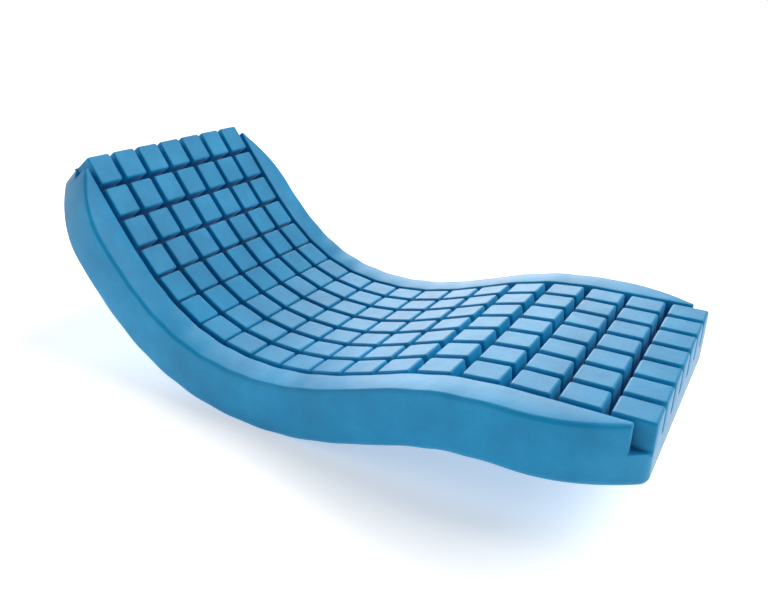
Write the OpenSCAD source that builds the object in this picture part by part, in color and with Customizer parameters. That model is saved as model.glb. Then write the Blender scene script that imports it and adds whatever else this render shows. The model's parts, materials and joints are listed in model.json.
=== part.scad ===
// Pressure relief mattress: one foam moulding cut by cross and lengthwise grooves into blocks,
// shown on a raised backrest and a raised knee. +X runs from head to foot, +Y across, +Z up.
// The origin is the centre of the seat row's underside.

/* [Overall] */
// Length of the mattress laid flat
mattress_l = 1950; // [1700:10:2400]
// Width over both side borders
mattress_w = 880; // [800:10:1000]
// Thickness from underside to block tops
mattress_t = 150; // [120:5:180]

/* [Blocks] */
// Number of cross rows of blocks
rows = 18; // [16:1:20]
// Number of blocks across a row
columns = 7; // [5:1:7]
// Distance between block centres across the mattress
column_pitch = 97; // [80:1:105]
// Width of the lengthwise grooves
column_groove_w = 15; // [8:1:20]
// Depth of all grooves below the block tops
groove_depth = 70; // [50:5:85]
// Radius of the upright block corners
block_corner_r = 8; // [2:1:12]

/* [Flexing] */
// Gap left between block tops when a groove is bent to its limit
closed_gap = 1; // [0.6:0.1:4]
// Gap between neighbouring rows at the bending line
hinge_gap = 0.6; // [0.4:0.1:2]
// Further bend that each groove can take beyond the resting profile, in percent
bend_reserve = 15; // [0:1:20]

/* [Ends] */
// Length over which the outline curves in towards each end
taper_l = 260; // [150:5:300]
// How far the side borders stop short of the head end
head_border_stop = 33; // [20:1:60]
// How far the side borders stop short of the foot end
foot_border_stop = 43; // [20:1:60]

/* [Resting profile] */
// Bend of the backrest, in degrees
back_bend = 51; // [20:0.1:54]
// Extra curl of each of the grooves nearest the head, in degrees
head_curl = 0.4; // [0:0.1:3]
// Rise of the thighs, in degrees
thigh_bend = 20.7; // [5:0.1:24]
// Drop beyond the knees, in degrees
knee_bend = 17.8; // [5:0.1:24]
// Extra drop of each of the grooves nearest the foot, in degrees
calf_drop = 0.4; // [0:0.1:2]

/* [Hidden] */
$fn = 32;
foam_top = [0.50, 0.66, 0.82];
foam_side = [0.16, 0.48, 0.68];
foam_web = [0.10, 0.38, 0.60];

// Zones of the profile: first groove, last groove, groove of strongest bend, spread in grooves
seat_row = 9;
curled_grooves = 3;
dropped_grooves = 3;
back_zone = [1, 8, 6.1, 5.2];
thigh_zone = [9, 12, 9.45, 3.4];
knee_zone = [13, rows - 1, 13.91, 2.2];

taper_steps = 8;
hinge_h = mattress_t - groove_depth;
reserve = 1 + bend_reserve / 100;

function total(v, i = 0) = i < len(v) ? v[i] + total(v, i + 1) : 0;
function bell(k, centre, spread) =
    abs(k - centre) < spread ? (1 + cos(180 * (k - centre) / spread)) / 2 : 0;
function zone_bells(zone) = [for (k = [zone[0] : zone[1]]) bell(k, zone[2], zone[3])];
function zone_share(k, zone) =
    k < zone[0] || k > zone[1] ? 0 : bell(k, zone[2], zone[3]) / total(zone_bells(zone));

// Bend at groove k, which lies between rows k and k + 1; positive folds the top side together
function bend(k) =
    back_bend * zone_share(k, back_zone)
    + (k <= curled_grooves ? head_curl : 0)
    + thigh_bend * zone_share(k, thigh_zone)
    - knee_bend * zone_share(k, knee_zone)
    - (k >= rows - dropped_grooves ? calf_drop : 0);

all_bends = [for (k = [1 : rows - 1]) bend(k)];
steepest_fold = reserve * max(all_bends);
steepest_drop = reserve * max(-min(all_bends), 0);

cross_groove_w = closed_gap + 2 * groove_depth * tan(steepest_fold / 2);
underside_relief = hinge_gap / 2 + hinge_h * tan(steepest_drop / 2);

// All blocks are equally long, so the pitch spreads one groove more than there are
row_pitch = (mattress_l + cross_groove_w) / rows;

blocks_half_w = (columns * column_pitch - column_groove_w) / 2;
border_inner_y = blocks_half_w + column_groove_w;
borders_l = mattress_l - head_border_stop - foot_border_stop;

// Slope of a row and the middle of its bending line, chained outwards from the seat row
function slope(r) =
    r == seat_row ? 0
    : r > seat_row ? slope(r - 1) + bend(r - 1)
    : slope(r + 1) - bend(r);
function along(r) = [cos(slope(r)), 0, sin(slope(r))];
function middle(r) =
    r == seat_row ? [0, 0, hinge_h]
    : r > seat_row ? middle(r - 1) + (along(r - 1) + along(r)) * row_pitch / 2
    : middle(r + 1) - (along(r + 1) + along(r)) * row_pitch / 2;

// How far a row's end stops short of its pitch: half a groove at the outer ends of the mattress
function head_cut(r, cut) = r == 1 ? cross_groove_w / 2 : cut;
function foot_cut(r, cut) = r == rows ? cross_groove_w / 2 : cut;

// Half the width of the outline at a distance from the nearer end
function outline_y(from_end) =
    mattress_w / 2 - (mattress_w / 2 - blocks_half_w) * pow(max(1 - from_end / taper_l, 0), 2);

function row_name(r) = str(r < 10 ? "row_0" : "row_", r);

module place_row(r) {
    translate(middle(r)) rotate([0, -slope(r), 0]) translate([0, 0, -hinge_h]) children();
}

// Side view of a slice of a row between two heights, with its own cut at each height
module row_side(r, low, high, low_cut, high_cut) {
    half = row_pitch / 2;
    rotate([90, 0, 0])
        linear_extrude(height = mattress_w, center = true)
            polygon([
                [-half + head_cut(r, low_cut), low],
                [half - foot_cut(r, low_cut), low],
                [half - foot_cut(r, high_cut), high],
                [-half + head_cut(r, high_cut), high]
            ]);
}

// Flat mattress laid so that row r is centred
module flat_from_row(r) {
    translate([cross_groove_w / 2 - (r - 0.5) * row_pitch, 0, 0]) children();
}

// Outline of the whole flat mattress from above
module plan_outline(r) {
    taper = [for (i = [0 : taper_steps]) let (u = taper_l * i / taper_steps) [u, outline_y(u)]];
    other_end = [for (i = [taper_steps : -1 : 0]) [mattress_l - taper[i][0], taper[i][1]]];
    far_side = concat(taper, other_end);
    near_side = [for (i = [len(far_side) - 1 : -1 : 0]) [far_side[i][0], -far_side[i][1]]];
    flat_from_row(r)
        linear_extrude(height = mattress_t)
            polygon(concat(far_side, near_side));
}

module web(r) {
    color(foam_web) place_row(r) intersection() {
        row_side(r, 0, hinge_h, underside_relief, hinge_gap / 2);
        plan_outline(r);
    }
}

module borders(r) {
    color(foam_side) place_row(r) difference() {
        intersection() {
            row_side(r, hinge_h, mattress_t, hinge_gap / 2, cross_groove_w / 2);
            plan_outline(r);
            flat_from_row(r)
                translate([head_border_stop, -mattress_w, 0])
                    cube([borders_l, 2 * mattress_w, 2 * mattress_t]);
        }
        translate([-row_pitch, -border_inner_y, 0])
            cube([2 * row_pitch, 2 * border_inner_y, 2 * mattress_t]);
    }
}

// A block standing on the web, with round upright corners
module block(length, width) {
    inner_l = length - 2 * block_corner_r;
    inner_w = width - 2 * block_corner_r;
    linear_extrude(height = groove_depth) {
        square([length, inner_w], center = true);
        square([inner_l, width], center = true);
        for (x = [-inner_l / 2, inner_l / 2], y = [-inner_w / 2, inner_w / 2])
            translate([x, y]) circle(r = block_corner_r);
    }
}

module blocks(r) {
    color(foam_top) place_row(r)
        for (c = [0 : columns - 1])
            translate([0, (c - (columns - 1) / 2) * column_pitch, hinge_h])
                block(row_pitch - cross_groove_w, column_pitch - column_groove_w);
}

for (r = [1 : rows]) {
    web(r);
    borders(r);
    blocks(r);
}
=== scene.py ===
import json
import math

import bmesh
import bpy
from mathutils import Matrix, Vector

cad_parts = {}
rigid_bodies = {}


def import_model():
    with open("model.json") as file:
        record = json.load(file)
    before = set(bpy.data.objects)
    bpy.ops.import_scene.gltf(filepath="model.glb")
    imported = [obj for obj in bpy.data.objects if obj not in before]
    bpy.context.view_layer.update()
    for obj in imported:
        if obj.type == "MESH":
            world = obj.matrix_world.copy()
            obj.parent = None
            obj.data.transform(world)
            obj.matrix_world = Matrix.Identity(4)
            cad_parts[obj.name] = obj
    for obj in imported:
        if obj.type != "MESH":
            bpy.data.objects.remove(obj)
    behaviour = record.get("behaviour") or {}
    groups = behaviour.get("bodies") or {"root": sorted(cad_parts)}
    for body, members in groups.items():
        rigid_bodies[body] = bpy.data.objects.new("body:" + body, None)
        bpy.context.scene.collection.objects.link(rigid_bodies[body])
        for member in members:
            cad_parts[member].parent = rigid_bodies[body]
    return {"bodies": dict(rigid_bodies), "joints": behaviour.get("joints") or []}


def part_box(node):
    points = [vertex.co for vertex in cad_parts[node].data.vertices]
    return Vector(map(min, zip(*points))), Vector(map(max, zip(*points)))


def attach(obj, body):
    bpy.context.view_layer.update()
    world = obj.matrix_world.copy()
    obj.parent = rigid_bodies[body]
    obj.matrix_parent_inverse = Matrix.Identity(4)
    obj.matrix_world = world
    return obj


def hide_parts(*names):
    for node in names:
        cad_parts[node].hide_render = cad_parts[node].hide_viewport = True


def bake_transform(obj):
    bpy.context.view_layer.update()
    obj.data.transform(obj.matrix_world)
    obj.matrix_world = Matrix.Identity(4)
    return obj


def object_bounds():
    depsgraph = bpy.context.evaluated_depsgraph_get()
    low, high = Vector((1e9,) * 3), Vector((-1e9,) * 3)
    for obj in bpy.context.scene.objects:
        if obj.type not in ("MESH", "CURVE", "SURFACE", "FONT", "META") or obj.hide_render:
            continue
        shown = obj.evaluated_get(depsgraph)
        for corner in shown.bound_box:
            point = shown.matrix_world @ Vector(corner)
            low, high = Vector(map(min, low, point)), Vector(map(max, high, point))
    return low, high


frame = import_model()
cad_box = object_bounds()

# Sizes of the foam slab, read from the seat row, which lies level
SEAT_ROW = "row_09"
GROOVES_BESIDE_SEAT = (8, 9)
web_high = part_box(SEAT_ROW + "_web")[1]
border_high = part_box(SEAT_ROW + "_borders")[1]
blocks_low, blocks_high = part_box(SEAT_ROW + "_blocks")

ROWS = len(frame["bodies"])
COLUMNS = 7
HALF_WIDTH = border_high.y
THICKNESS = border_high.z
GROOVE_FLOOR = web_high.z
GROOVE_DEPTH = THICKNESS - GROOVE_FLOOR
BLOCKS_HALF = blocks_high.y
BLOCK_LENGTH = blocks_high.x - blocks_low.x
LENGTHWISE_GROOVE = 0.015
COLUMN_PITCH = (2 * BLOCKS_HALF + LENGTHWISE_GROOVE) / COLUMNS
BLOCK_WIDTH = COLUMN_PITCH - LENGTHWISE_GROOVE
BORDER_INNER = BLOCKS_HALF + LENGTHWISE_GROOVE

# The ends: length of the narrowing, and how far the borders stop short
TAPER_LENGTH = 0.260
HEAD_BORDER_STOP = 0.033
FOOT_BORDER_STOP = 0.043

# Radii of the moulded and cut edges
CORNER_ROUND = 0.016
BORDER_OUTER_ROUND = 0.012
BORDER_INNER_ROUND = 0.005
GROOVE_FILLET = 0.005
TIP_ROUND = 0.003
BLOCK_CORNER_ROUND = 0.008
BLOCK_TOP_ROUND = 0.0055

# Steps in which edges are rounded
BROAD_STEPS = 5
FINE_STEPS = 3
TIP_STEPS = 2

# How far a block is sunk into the slab, and the rim left round its top
BLOCK_SINK = 0.004
BLOCK_TOP_MARGIN = 0.001

# The fillet at the foot of a block: each step's drop, and how far it stands out before and after
BASE_SPREAD = 0.005
BASE_FILLET = (
    (0.0025, (0, 0.0008)),
    (0.0018, (0.0008, 0.0025)),
    (0.0007, (0.0025, BASE_SPREAD)),
)

# How far the sunk foot of the blocks stays inside the end of the slab
SUNK_FOOT_INSET = 0.0005

# Strips into which the long faces are divided, and the shortest edge divided at an end
SPAN_STRIPS = 20
END_STRIPS = 4
SHORTEST_END_EDGE = 0.008

# Strips along the edges that keep their width while the outline narrows, as long as the
# border is at least its full width
BORDER_FULL_WIDTH = 0.030
INNER_EDGE_WIDTH = 0.008
OUTER_EDGE_WIDTH = 0.015
SLAB_EDGE_WIDTH = 0.020

# Least room left beside the edge of the slab, underneath and on the ledge, and between strips
UNDERSIDE_CLEARANCE = 0.024
LEDGE_CLEARANCE = 0.007
LEAST_STRIP = 0.002

# How far a direction agrees with an axis to count as along it, or across it
UPRIGHT = 0.9
SQUARE_ON = 0.99
LENGTHWISE = 0.999
CROSSWISE = 0.01
HAIR = 1e-5


# ---------------------------------------------------------------- the resting profile

def row_name(row):
    return f"row_{row:02d}"


def groove_joint(groove):
    """The joint between the two rows on either side of a groove."""
    pair = {row_name(groove), row_name(groove + 1)}
    return next(j for j in frame["joints"] if {j["parent"], j["child"]} == pair)


def hinge_point(groove):
    return Vector(groove_joint(groove)["pos_m"])


def bend_size(groove):
    """Angle through which a groove is bent at rest, which is its travel back to flat."""
    return math.radians(-groove_joint(groove)["range_deg"][0])


headward, footward = (hinge_point(groove) for groove in GROOVES_BESIDE_SEAT)
PITCH = (footward - headward).length
CROSS_GROOVE = PITCH - BLOCK_LENGTH
LENGTH = ROWS * PITCH - CROSS_GROOVE
END_LENGTH = BLOCK_LENGTH / 2


def row_slope(row):
    """Slope of a row above level, measured between the hinges at its two ends."""
    if row == 1:
        return row_slope(2) - bend_size(1)
    if row == ROWS:
        return row_slope(ROWS - 1) - bend_size(ROWS - 1)
    run = hinge_point(row) - hinge_point(row - 1)
    return math.atan2(run.z, run.x)


def turned(x, z, angle):
    """A point of the flat slab, measured from the bending line, turned to a slope."""
    c, s = math.cos(angle), math.sin(angle)
    return Vector((x * c - z * s, 0, x * s + z * c))


def row_middle(row):
    """Middle of a row's bending line."""
    if row < ROWS:
        return hinge_point(row) - turned(PITCH / 2, 0, row_slope(row))
    return hinge_point(ROWS - 1) + turned(PITCH / 2, 0, row_slope(ROWS))


def eased(t):
    t = min(max(t, 0), 1)
    return t * t * (3 - 2 * t)


# ---------------------------------------------------------------- modelling helpers

def deselect_all():
    for thing in bpy.context.selected_objects:
        thing.select_set(False)


def activate(piece):
    deselect_all()
    piece.select_set(True)
    bpy.context.view_layer.objects.active = piece


def add_slab(name, x_range, half_width, z_range):
    """A box between two lengthwise places and two heights, ready for shaping."""
    deselect_all()
    (x0, x1), (z0, z1) = x_range, z_range
    bpy.ops.mesh.primitive_cube_add(size=1, location=((x0 + x1) / 2, 0, (z0 + z1) / 2))
    slab = bpy.context.active_object
    slab.name = slab.data.name = name
    slab.scale = (x1 - x0, 2 * half_width, z1 - z0)
    bpy.ops.object.transform_apply(location=True, rotation=True, scale=True)
    return slab


def edit(piece):
    activate(piece)
    bpy.ops.object.mode_set(mode="EDIT")


def finish_edit():
    bpy.ops.object.mode_set(mode="OBJECT")


def pick_faces(piece, wanted):
    bpy.ops.mesh.select_mode(type="FACE")
    bpy.ops.mesh.select_all(action="DESELECT")
    mesh = bmesh.from_edit_mesh(piece.data)
    for face in mesh.faces:
        face.select_set(wanted(face.calc_center_median(), face.normal))
    bmesh.update_edit_mesh(piece.data)


def pick_edges(piece, wanted):
    """Selects the edges for which wanted(middle, direction, length) holds."""
    bpy.ops.mesh.select_mode(type="EDGE")
    bpy.ops.mesh.select_all(action="DESELECT")
    mesh = bmesh.from_edit_mesh(piece.data)
    for edge in mesh.edges:
        a, b = (v.co for v in edge.verts)
        run = b - a
        if run.length > HAIR and wanted((a + b) / 2, run.normalized(), run.length):
            edge.select_set(True)
    bmesh.update_edit_mesh(piece.data)


def cut(place, normal):
    bpy.ops.mesh.select_all(action="SELECT")
    bpy.ops.mesh.bisect(plane_co=place, plane_no=normal)


def round_picked(radius, segments):
    bpy.ops.mesh.bevel(offset=radius, offset_type="OFFSET", segments=segments, profile=0.5,
                       affect="EDGES", clamp_overlap=False)


def raise_picked(height):
    bpy.ops.mesh.extrude_region_move(TRANSFORM_OT_translate={"value": (0, 0, height)})


def near(a, b):
    return abs(a - b) < HAIR


def lengthwise(direction):
    return abs(direction.x) > LENGTHWISE


def smooth(piece, degrees=40):
    activate(piece)
    bpy.ops.object.shade_smooth_by_angle(angle=math.radians(degrees))


def move_points(piece, place):
    for v in piece.data.vertices:
        v.co = place(v.co)
    piece.data.update()


# ---------------------------------------------------------------- the slab and its borders

def outline_y(from_head):
    """Half the width of the slab at a distance from its head end."""
    from_end = max(min(from_head, LENGTH - from_head), 0)
    short = max(1 - from_end / TAPER_LENGTH, 0)
    return HALF_WIDTH - (HALF_WIDTH - BLOCKS_HALF) * short ** 2


def between(value, marks, targets):
    """Value carried from one set of marks to another, straight in between."""
    for i in range(len(marks) - 1):
        if value <= marks[i + 1] + HAIR:
            share = (value - marks[i]) / (marks[i + 1] - marks[i])
            return targets[i] + share * (targets[i + 1] - targets[i])
    return targets[-1]


def narrowed(point, from_head):
    """Draws the outer side in to the outline, and keeps the rounded edges their size."""
    wide, edge, side = abs(point.y), outline_y(from_head), math.copysign(1, point.y)
    if point.z > GROOVE_FLOOR + HAIR and wide > BORDER_INNER - HAIR:
        room = edge - BORDER_INNER
        share = min(1, room / BORDER_FULL_WIDTH)
        marks = [BORDER_INNER, BORDER_INNER + INNER_EDGE_WIDTH,
                 HALF_WIDTH - OUTER_EDGE_WIDTH, HALF_WIDTH]
        targets = [BORDER_INNER, BORDER_INNER + INNER_EDGE_WIDTH * share,
                   edge - OUTER_EDGE_WIDTH * share, edge]
    else:
        low = point.z < GROOVE_FLOOR / 2
        clear = UNDERSIDE_CLEARANCE if low else LEDGE_CLEARANCE
        inner = min(BORDER_INNER, edge - clear)
        marks = [0, BORDER_INNER, HALF_WIDTH - SLAB_EDGE_WIDTH, HALF_WIDTH]
        targets = [0, inner, max(edge - SLAB_EDGE_WIDTH, inner + LEAST_STRIP), edge]
    return side * between(wide, marks, targets)


def round_long_edges(body, foot_of_border):
    """Rounds the edges that run the length of the slab."""
    def at(y, z):
        return lambda m, d, n: lengthwise(d) and near(abs(m.y), y) and near(m.z, z)
    stands = at(BORDER_INNER, GROOVE_FLOOR)
    pick_edges(body, lambda m, d, n: stands(m, d, n) and m.x > foot_of_border)
    round_picked(GROOVE_FILLET, FINE_STEPS)
    pick_edges(body, at(BORDER_INNER, THICKNESS))
    round_picked(BORDER_INNER_ROUND, FINE_STEPS)
    pick_edges(body, at(HALF_WIDTH, THICKNESS))
    round_picked(BORDER_OUTER_ROUND, BROAD_STEPS)


def strip_lengthwise(body, shortest, strips):
    """Divides the long faces into narrow strips, so that they can bend."""
    pick_edges(body, lambda m, d, n: lengthwise(d) and n > shortest)
    bpy.ops.mesh.subdivide(number_cuts=strips - 1)


def make_span(groove):
    """The foam from the middle of one row to the middle of the next, bent over its groove."""
    half = PITCH / 2
    body = add_slab(f"foam_span_{groove:02d}", (-half, half), HALF_WIDTH, (0, GROOVE_FLOOR))
    edit(body)
    for side in (-1, 1):
        cut((0, side * BORDER_INNER, 0), (0, 1, 0))
    pick_faces(body, lambda c, n: n.z > UPRIGHT and abs(c.y) > BORDER_INNER)
    raise_picked(GROOVE_DEPTH)
    round_long_edges(body, -PITCH)
    pick_edges(body, lambda m, d, n: lengthwise(d) and near(abs(m.y), HALF_WIDTH) and near(m.z, 0))
    round_picked(CORNER_ROUND, BROAD_STEPS)
    strip_lengthwise(body, half, SPAN_STRIPS)
    finish_edit()

    hinge, slope = hinge_point(groove), row_slope(groove)
    bend = row_slope(groove + 1) - slope
    from_head = groove * PITCH - CROSS_GROOVE / 2

    def bent(point):
        y = narrowed(point, from_head + point.x)
        angle = slope + bend * eased(point.x / PITCH + 0.5)
        return hinge + turned(point.x, point.z - GROOVE_FLOOR, angle) + Vector((0, y, 0))

    move_points(body, bent)
    smooth(body)
    return body


def make_end(name, row, out, stop):
    """The outer half of an end row, with the border tips; out is -1 at the head, 1 at the foot."""
    body = add_slab(name, (0, END_LENGTH), HALF_WIDTH, (0, GROOVE_FLOOR))
    edit(body)
    for side in (-1, 1):
        cut((0, side * BORDER_INNER, 0), (0, 1, 0))
    cut((stop, 0, 0), (1, 0, 0))
    pick_faces(body, lambda c, n: n.z > UPRIGHT and abs(c.y) > BORDER_INNER and c.x > stop)
    raise_picked(GROOVE_DEPTH)
    pick_edges(body, lambda m, d, n:
               (near(m.z, 0) and (near(m.x, 0) or (near(abs(m.y), HALF_WIDTH) and lengthwise(d))))
               or (near(m.x, 0) and near(abs(m.y), HALF_WIDTH)))
    round_picked(CORNER_ROUND, BROAD_STEPS)
    round_long_edges(body, stop)
    pick_edges(body, lambda m, d, n: near(m.x, stop) and abs(d.x) < CROSSWISE
               and m.z > GROOVE_FLOOR + GROOVE_FILLET / 2)
    round_picked(TIP_ROUND, TIP_STEPS)
    strip_lengthwise(body, SHORTEST_END_EDGE, END_STRIPS)
    finish_edit()

    middle, slope = row_middle(row), row_slope(row)

    def placed(point):
        y = narrowed(point, point.x)
        along = out * (END_LENGTH - point.x)
        return middle + turned(along, point.z - GROOVE_FLOOR, slope) + Vector((0, y, 0))

    move_points(body, placed)
    if out > 0:
        body.data.flip_normals()
    return body


# ---------------------------------------------------------------- the blocks

def grow_base(block, drop, wider):
    """Draws the underside down and outwards by one step of the fillet at its foot."""
    length, width = BLOCK_LENGTH + wider[0] * 2, BLOCK_WIDTH + wider[0] * 2
    bpy.ops.mesh.extrude_region_move(TRANSFORM_OT_translate={"value": (0, 0, -drop)})
    step = wider[1] - wider[0]
    bpy.ops.transform.resize(value=((length + 2 * step) / length, (width + 2 * step) / width, 1),
                             center_override=(0, 0, 0))


def make_block():
    """One foam block, with rounded corners and top, and a fillet where it stands on the slab."""
    foot = GROOVE_FLOOR + GROOVE_FILLET
    block = add_slab("block", (-BLOCK_LENGTH / 2, BLOCK_LENGTH / 2), BLOCK_WIDTH / 2,
                     (foot, THICKNESS))
    edit(block)
    pick_edges(block, lambda m, d, n: abs(d.z) > UPRIGHT)
    round_picked(BLOCK_CORNER_ROUND, FINE_STEPS)
    pick_edges(block, lambda m, d, n: near(m.z, THICKNESS))
    round_picked(BLOCK_TOP_ROUND, FINE_STEPS)
    pick_faces(block, lambda c, n: n.z > SQUARE_ON)
    bpy.ops.mesh.inset(thickness=BLOCK_TOP_MARGIN, depth=0)
    pick_faces(block, lambda c, n: n.z < -SQUARE_ON)
    for drop, wider in BASE_FILLET:
        grow_base(block, drop, wider)
    grow_base(block, BLOCK_SINK, (BASE_SPREAD, BASE_SPREAD))
    finish_edit()
    return block


def copy_of(piece, name):
    twin = piece.copy()
    twin.data = piece.data.copy()
    twin.name = twin.data.name = name
    bpy.context.scene.collection.objects.link(twin)
    return twin


def make_block_row(block):
    """A level row of blocks, one for each column."""
    row = []
    for column in range(COLUMNS):
        twin = copy_of(block, f"block_{column}")
        across = (column - (COLUMNS - 1) / 2) * COLUMN_PITCH
        twin.data.transform(Matrix.Translation((0, across, 0)))
        row.append(twin)
    deselect_all()
    for twin in row:
        twin.select_set(True)
    bpy.context.view_layer.objects.active = row[0]
    bpy.ops.object.join()
    row[0].name = row[0].data.name = "block_row"
    return row[0]


def draw_flush(blocks, out):
    """Draws the fillets level with the end of the slab, and the sunk foot just inside it."""
    def drawn(point):
        sunk = point.z < GROOVE_FLOOR - HAIR
        limit = END_LENGTH - (SUNK_FOOT_INSET if sunk else 0)
        return Vector((out * min(out * point.x, limit), point.y, point.z))
    move_points(blocks, drawn)


def place_block_row(pattern, row):
    blocks = copy_of(pattern, row_name(row) + "_foam_blocks")
    if row in (1, ROWS):
        draw_flush(blocks, -1 if row == 1 else 1)
    turn = Matrix.Rotation(-row_slope(row), 4, "Y")
    lower = Matrix.Translation((0, 0, -GROOVE_FLOOR))
    blocks.data.transform(Matrix.Translation(row_middle(row)) @ turn @ lower)
    smooth(blocks)
    return blocks


# ---------------------------------------------------------------- foam

FOAM_IOR = 1.34
FOAM_SHEEN = 0.45
FOAM_SHEEN_ROUGHNESS = 0.3
FOAM_ROUGHNESS = (0.40, 0.50)
MOTTLED_BLUES = (
    (0.30, (0.002, 0.222, 0.455, 1)),
    (0.55, (0.003, 0.272, 0.540, 1)),
    (0.75, (0.014, 0.322, 0.615, 1)),
)
CELL_SHADES = (
    (0.30, (0.90, 0.90, 0.90, 1)),
    (0.70, (1.08, 1.08, 1.08, 1)),
)

# How often each pattern comes in a metre
MOTTLE_SCALE = 7.0
CELL_SCALE = 260.0
DULLNESS_SCALE = 30.0
PORE_SCALE = 520.0
UNEVENNESS_SCALE = 14.0

# Depths in metres, and how strongly each is felt
PORE_DEPTH, PORE_STRENGTH = 0.0004, 0.12
UNEVENNESS_DEPTH, UNEVENNESS_STRENGTH = 0.0030, 0.35


def foam_material():
    """Blue cut foam: matt and faintly mottled, with fine open cells."""
    foam = bpy.data.materials.new("blue_foam")
    foam.use_nodes = True
    nodes, links = foam.node_tree.nodes, foam.node_tree.links
    skin = nodes["Principled BSDF"]
    skin.inputs["IOR"].default_value = FOAM_IOR
    skin.inputs["Sheen Weight"].default_value = FOAM_SHEEN
    skin.inputs["Sheen Roughness"].default_value = FOAM_SHEEN_ROUGHNESS
    place = nodes.new("ShaderNodeTexCoord").outputs["Object"]

    def noise(scale, detail, rough=0.5):
        made = nodes.new("ShaderNodeTexNoise")
        made.inputs["Scale"].default_value = scale
        made.inputs["Detail"].default_value = detail
        made.inputs["Roughness"].default_value = rough
        links.new(place, made.inputs["Vector"])
        return made.outputs["Fac"]

    def ramp(value, stops):
        made = nodes.new("ShaderNodeValToRGB")
        made.color_ramp.elements[0].position, made.color_ramp.elements[0].color = stops[0]
        made.color_ramp.elements[1].position, made.color_ramp.elements[1].color = stops[-1]
        for position, colour in stops[1:-1]:
            made.color_ramp.elements.new(position).color = colour
        links.new(value, made.inputs["Fac"])
        return made.outputs["Color"]

    def mixed(kind, amount, under, over):
        made = nodes.new("ShaderNodeMix")
        made.data_type, made.blend_type = "RGBA", kind
        if isinstance(amount, float):
            made.inputs["Factor"].default_value = amount
        else:
            links.new(amount, made.inputs["Factor"])
        links.new(under, made.inputs["A"])
        links.new(over, made.inputs["B"])
        return made.outputs["Result"]

    clouds = ramp(noise(MOTTLE_SCALE, detail=4.0, rough=0.6), MOTTLED_BLUES)
    cells = ramp(noise(CELL_SCALE, detail=3.0, rough=0.7), CELL_SHADES)
    colour = mixed("MULTIPLY", 1.0, clouds, cells)
    links.new(colour, skin.inputs["Base Color"])

    dull = nodes.new("ShaderNodeMapRange")
    dull.inputs["To Min"].default_value, dull.inputs["To Max"].default_value = FOAM_ROUGHNESS
    links.new(noise(DULLNESS_SCALE, detail=2.0), dull.inputs["Value"])
    links.new(dull.outputs["Result"], skin.inputs["Roughness"])

    pores = nodes.new("ShaderNodeTexVoronoi")
    pores.inputs["Scale"].default_value = PORE_SCALE
    links.new(place, pores.inputs["Vector"])
    fine = nodes.new("ShaderNodeBump")
    fine.inputs["Strength"].default_value = PORE_STRENGTH
    fine.inputs["Distance"].default_value = PORE_DEPTH
    links.new(pores.outputs["Distance"], fine.inputs["Height"])
    uneven = nodes.new("ShaderNodeBump")
    uneven.inputs["Strength"].default_value = UNEVENNESS_STRENGTH
    uneven.inputs["Distance"].default_value = UNEVENNESS_DEPTH
    links.new(noise(UNEVENNESS_SCALE, detail=2.0), uneven.inputs["Height"])
    links.new(fine.outputs["Normal"], uneven.inputs["Normal"])
    links.new(uneven.outputs["Normal"], skin.inputs["Normal"])
    return foam


def dress(piece, foam):
    piece.data.materials.clear()
    piece.data.materials.append(foam)


# ---------------------------------------------------------------- studio

ROOM_LIGHT = 0.10
FLOOR_SIZE = 60
FLOOR_COLOUR = (0.93, 0.93, 0.93, 1)
FLOOR_ROUGHNESS = 0.9
FLOOR_GLOSS = 0.1
FLOOR_GLOW = 0.42

# Each sun's name, the direction it shines from, its spread in degrees and its strength
SOFT_SUNS = (
    ("low_back_light", (-0.50, 0.78, 0.40), 50, 0.85),
    ("foot_light", (0.55, 0.42, 0.75), 45, 0.72),
    ("head_light", (-0.80, -0.60, 0.40), 40, 0.30),
)

CAMERA_PLACE = Vector((1.1302, -1.7044, 1.1236))
CAMERA_YAW, CAMERA_PITCH, CAMERA_ROLL = (math.radians(a) for a in (32.486, 22.458, 1.439))
CAMERA_SENSOR, CAMERA_LENS = 36.0, 33.88
CAMERA_SHIFT = (0.0505, -0.0352)
CAMERA_REACH = (0.05, 100)


def aim(thing, place, target):
    thing.location = place
    thing.rotation_euler = (Vector(target) - Vector(place)).to_track_quat("-Z", "Y").to_euler()


def add_soft_sun(name, towards, spread, strength):
    """A broad even light that comes from the direction it is given."""
    lamp = bpy.data.lights.new(name, "SUN")
    lamp.angle = math.radians(spread)
    lamp.energy = math.pi * strength
    light = bpy.data.objects.new(name, lamp)
    bpy.context.scene.collection.objects.link(light)
    aim(light, towards, (0, 0, 0))


def white_world():
    """An even room light, with a pure white backdrop beyond the floor."""
    world = bpy.data.worlds.new("white_studio")
    bpy.context.scene.world = world
    world.use_nodes = True
    nodes, links = world.node_tree.nodes, world.node_tree.links
    room = nodes["Background"]
    room.inputs["Color"].default_value = (1, 1, 1, 1)
    room.inputs["Strength"].default_value = ROOM_LIGHT
    backdrop = nodes.new("ShaderNodeBackground")
    backdrop.inputs["Strength"].default_value = 1.0
    backdrop.inputs["Color"].default_value = (1, 1, 1, 1)
    seen = nodes.new("ShaderNodeLightPath")
    either = nodes.new("ShaderNodeMixShader")
    links.new(seen.outputs["Is Camera Ray"], either.inputs["Fac"])
    links.new(room.outputs["Background"], either.inputs[1])
    links.new(backdrop.outputs["Background"], either.inputs[2])
    links.new(either.outputs["Shader"], nodes["World Output"].inputs["Surface"])


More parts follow.
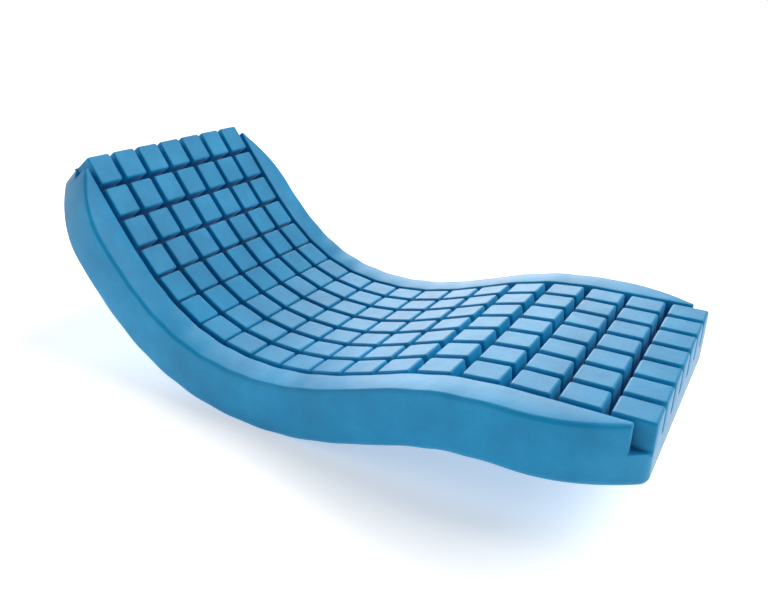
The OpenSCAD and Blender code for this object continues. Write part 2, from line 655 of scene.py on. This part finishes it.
def pale_paper():
    """Dull pale paper that glows slightly, so that its shadows stay soft."""
    paper = bpy.data.materials.new("pale_floor")
    paper.use_nodes = True
    skin = paper.node_tree.nodes["Principled BSDF"]
    skin.inputs["Base Color"].default_value = FLOOR_COLOUR
    skin.inputs["Roughness"].default_value = FLOOR_ROUGHNESS
    skin.inputs["Specular IOR Level"].default_value = FLOOR_GLOSS
    skin.inputs["Emission Color"].default_value = (1, 1, 1, 1)
    skin.inputs["Emission Strength"].default_value = FLOOR_GLOW
    return paper


def make_studio():
    deselect_all()
    bpy.ops.mesh.primitive_plane_add(size=FLOOR_SIZE, location=(0, 0, cad_box[0].z))
    floor = bpy.context.active_object
    floor.name = "studio_floor"
    floor.data.materials.append(pale_paper())
    bpy.context.scene.view_settings.view_transform = "Standard"
    white_world()
    for name, towards, spread, strength in SOFT_SUNS:
        add_soft_sun(name, towards, spread, strength)


def make_camera():
    """A three-quarter view from the foot end, slightly above the slab."""
    level, tilt = math.cos(CAMERA_PITCH), math.sin(CAMERA_PITCH)
    back = Vector((math.sin(CAMERA_YAW) * level, -math.cos(CAMERA_YAW) * level, tilt))
    right = Vector((math.cos(CAMERA_YAW), math.sin(CAMERA_YAW), 0))
    up = back.cross(right)
    across = math.cos(CAMERA_ROLL) * right + math.sin(CAMERA_ROLL) * up
    upright = math.cos(CAMERA_ROLL) * up - math.sin(CAMERA_ROLL) * right
    turn = Matrix((across, upright, back)).transposed().to_4x4()
    lens = bpy.data.cameras.new("camera")
    lens.sensor_width, lens.lens = CAMERA_SENSOR, CAMERA_LENS
    lens.shift_x, lens.shift_y = CAMERA_SHIFT
    lens.clip_start, lens.clip_end = CAMERA_REACH
    camera = bpy.data.objects.new("camera", lens)
    bpy.context.scene.collection.objects.link(camera)
    camera.matrix_world = Matrix.Translation(CAMERA_PLACE) @ turn
    bpy.context.scene.camera = camera


# ---------------------------------------------------------------- assembly

foam = foam_material()

for groove in range(1, ROWS):
    here, following = row_name(groove), row_name(groove + 1)
    span = make_span(groove)
    dress(span, foam)
    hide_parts(here + "_web", here + "_borders")
    row_middle(groove)
    row_middle(groove + 1)
    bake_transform(span)

for name, row, out, stop in (("foam_head_end", 1, -1, HEAD_BORDER_STOP),
                             ("foam_foot_end", ROWS, 1, FOOT_BORDER_STOP)):
    end = make_end(name, row, out, stop)
    smooth(end)
    dress(end, foam)
    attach(end, row_name(row))
    if row == ROWS:
        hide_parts(row_name(row) + "_web", row_name(row) + "_borders")

one_block = make_block()
pattern = make_block_row(one_block)
for row in range(1, ROWS + 1):
    blocks = place_block_row(pattern, row)
    dress(blocks, foam)
    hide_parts(row_name(row) + "_blocks")
    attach(blocks, row_name(row))
for spare in (one_block, pattern):
    bpy.data.objects.remove(spare)

make_studio()
make_camera()
